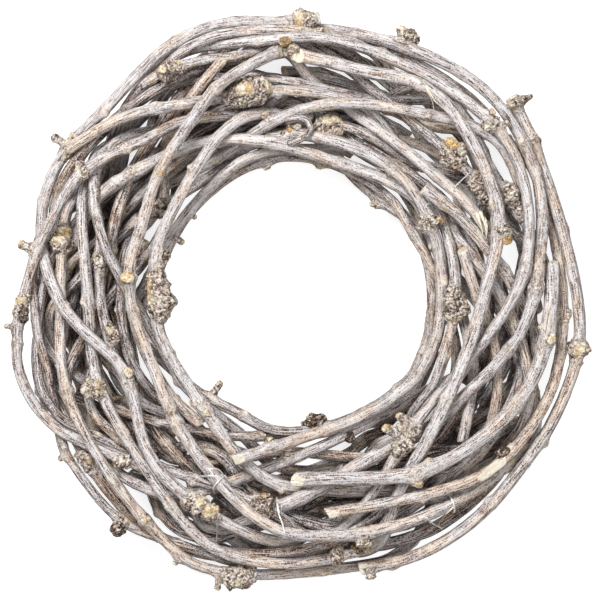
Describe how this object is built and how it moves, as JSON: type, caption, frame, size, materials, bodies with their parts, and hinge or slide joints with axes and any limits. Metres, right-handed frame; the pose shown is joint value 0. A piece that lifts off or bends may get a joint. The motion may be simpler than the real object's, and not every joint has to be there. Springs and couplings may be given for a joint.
{
  "type": "grapevine wreath",
  "caption": "Round wreath wound from dried, greyed vine canes with knots, stubs and burls, open in the middle, for hanging flat on a wall or laying on a table.",
  "frame": {"origin": "middle of the bounding box at the back of the wreath, the side that it lies on", "axes": "+Z out of the wreath's face, along its thickness; +Y towards the top of the wreath as the picture shows it; +X to the right"},
  "size_m": [0.3558, 0.351, 0.0675],
  "materials": {
    "vine_cane": "weathered, bare bark",
    "binding_wire": "plain drawn wire"
  },
  "bodies": {
    "root": {"cane_deep_slant_left_low": "vine_cane", "cane_deep_slant_left_high": "vine_cane", "cane_deep_left_upright": "vine_cane", "cane_deep_bottom_slant": "vine_cane", "cane_deep_bottom_red": "vine_cane", "cane_deep_right_slant": "vine_cane", "cane_deep_top_right": "vine_cane", "cane_deep_bottom_thick": "vine_cane", "cane_deep_low_crossing": "vine_cane", "cane_inner_rim_top": "vine_cane", "cane_deep_lower_rim": "vine_cane", "cane_deep_upper_rim": "vine_cane", "cane_deep_half_turn": "vine_cane", "cane_left_short_rise": "vine_cane", "cane_left_brown_rise": "vine_cane", "cane_outer_left_inside": "vine_cane", "cane_outer_left_low": "vine_cane", "cane_bottom_left_level": "vine_cane", "cane_bottom_left_shelf": "vine_cane", "cane_bottom_middle_slant": "vine_cane", "cane_left_grey_upright": "vine_cane", "cane_right_split_upright": "vine_cane", "cane_right_long_slant": "vine_cane", "cane_top_second_arch": "vine_cane", "cane_top_left_level": "vine_cane", "cane_top_gnarled_link": "vine_cane", "cane_inner_rim_right": "vine_cane", "cane_right_inner_burled": "vine_cane", "cane_right_ochre_cut": "vine_cane", "cane_top_right_inside": "vine_cane", "cane_left_grey_descent": "vine_cane", "cane_right_outer_slant": "vine_cane", "cane_bottom_broad_slant": "vine_cane", "cane_top_left_branch": "vine_cane", "cane_left_branch_ochre": "vine_cane", "cane_top_rim_inside": "vine_cane", "cane_right_tan": "vine_cane", "cane_top_arch_left": "vine_cane", "cane_inner_left_long": "vine_cane", "cane_inner_left_edge": "vine_cane", "cane_inner_top_front": "vine_cane", "cane_arch_top_front": "vine_cane", "cane_inner_right_long": "vine_cane", "cane_diagonal_white": "vine_cane", "cane_outer_left_knotted": "vine_cane", "cane_outer_left_long": "vine_cane", "cane_left_upright_tan": "vine_cane", "cane_left_front_long": "vine_cane", "cane_right_prominent": "vine_cane", "cane_rim_top_right": "vine_cane", "cane_rim_right_long": "vine_cane", "cane_top_to_right_long": "vine_cane", "cane_top_to_low_right": "vine_cane", "cane_front_left_long": "vine_cane", "cane_back_1": "vine_cane", "cane_back_2": "vine_cane", "cane_back_3": "vine_cane", "tie_wire_1": "binding_wire", "tie_wire_2": "binding_wire", "tie_wire_3": "binding_wire"}
  },
  "joints": []
}
